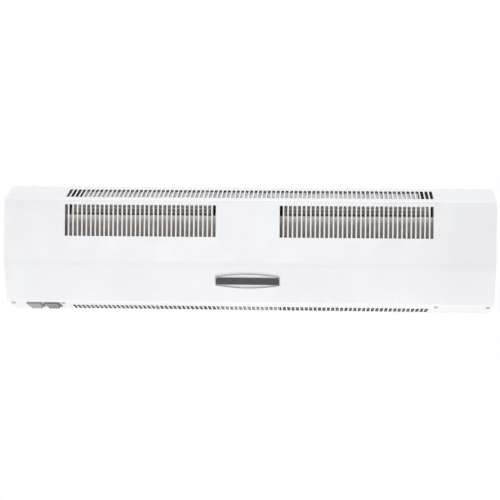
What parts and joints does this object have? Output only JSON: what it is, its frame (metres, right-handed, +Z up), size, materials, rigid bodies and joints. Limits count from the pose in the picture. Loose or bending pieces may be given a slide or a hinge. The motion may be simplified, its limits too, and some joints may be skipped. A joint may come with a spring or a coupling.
{
  "type": "air curtain",
  "caption": "Wall-hung electric air curtain: slotted sheet-steel casing with a twin tangential fan, tubular heater, outlet slots below and two rocker switches.",
  "frame": {"origin": "middle of the back plate's face that lies on the wall", "axes": "+X along the unit to the right seen from the front, +Y into the wall, +Z up"},
  "size_m": [0.8, 0.15, 0.2083],
  "materials": {
    "cover_paint": "white powder coat, fine orange peel",
    "galvanised": "zinc coated sheet",
    "steel": "bright turned steel",
    "fastener": "zinc plated",
    "aluminium": "rolled blades",
    "dark_steel": "heat darkened steel",
    "bronze": "sintered bronze",
    "rubber": "black rubber",
    "switch_body": "dark grey moulded plastic",
    "switch_rocker": "mid grey moulded plastic",
    "pale_plastic": "ivory nylon",
    "ceramic": "matt steatite",
    "badge_field": "dark grey enamel",
    "badge_metal": "thin bright rim",
    "lead_black": "PVC insulation",
    "lead_white": "silicone glass sleeve"
  },
  "bodies": {
    "casing": {"front_cover": "cover_paint", "back_plate": "galvanised", "left_end_plate": "cover_paint", "left_partition": "galvanised", "left_motor_plate": "galvanised", "left_duct_wall": "galvanised", "left_scroll_guide": "galvanised", "left_bearing": "bronze", "left_bearing_bush": "rubber", "left_motor_ring": "rubber", "left_heater_insulator": "ceramic", "right_end_plate": "cover_paint", "right_partition": "galvanised", "right_motor_plate": "galvanised", "right_duct_wall": "galvanised", "right_scroll_guide": "galvanised", "right_bearing": "bronze", "right_bearing_bush": "rubber", "right_motor_ring": "rubber", "right_heater_insulator": "ceramic", "motor_shield": "galvanised", "motor_housing": "dark_steel", "motor_stator": "steel", "heater_rod_1": "dark_steel", "heater_rod_2": "dark_steel", "heater_rod_3": "dark_steel", "thermal_cutout": "ceramic", "fan_switch_housing": "switch_body", "heat_switch_housing": "switch_body", "cover_screw_1": "fastener", "cover_screw_2": "fastener", "cover_screw_3": "fastener", "cover_screw_4": "fastener", "cover_earth_screw": "fastener", "cover_earth_nut": "bronze", "badge": "badge_field", "badge_rim": "badge_metal", "cable_grommet": "rubber", "cable_clamp": "pale_plastic", "clamp_screw_1": "fastener", "clamp_screw_2": "fastener", "terminal_block": "pale_plastic", "capacitor": "pale_plastic", "capacitor_clip": "galvanised", "motor_lead": "lead_black", "heater_lead": "lead_white"},
    "fan_set": {"left_impeller": "aluminium", "right_impeller": "aluminium", "left_coupling": "rubber", "right_coupling": "rubber", "left_stub_shaft": "steel", "right_stub_shaft": "steel", "motor_rotor": "steel", "motor_shaft": "steel"},
    "fan_rocker": {"fan_switch_rocker": "switch_rocker"},
    "heat_rocker": {"heat_switch_rocker": "switch_rocker"}
  },
  "joints": [
    {"name": "fan_spin", "type": "hinge", "parent": "casing", "child": "fan_set", "pos_m": [0, -0.078, 0.048], "axis": [1, 0, 0], "continuous": true},
    {"name": "fan_switch_tip", "type": "hinge", "parent": "casing", "child": "fan_rocker", "pos_m": [-0.3568, -0.10291, -0.09316], "axis": [1, 0, 0], "range_deg": [0, 16]},
    {"name": "heat_switch_tip", "type": "hinge", "parent": "casing", "child": "heat_rocker", "pos_m": [-0.3275, -0.10291, -0.09316], "axis": [1, 0, 0], "range_deg": [0, 16]}
  ]
}
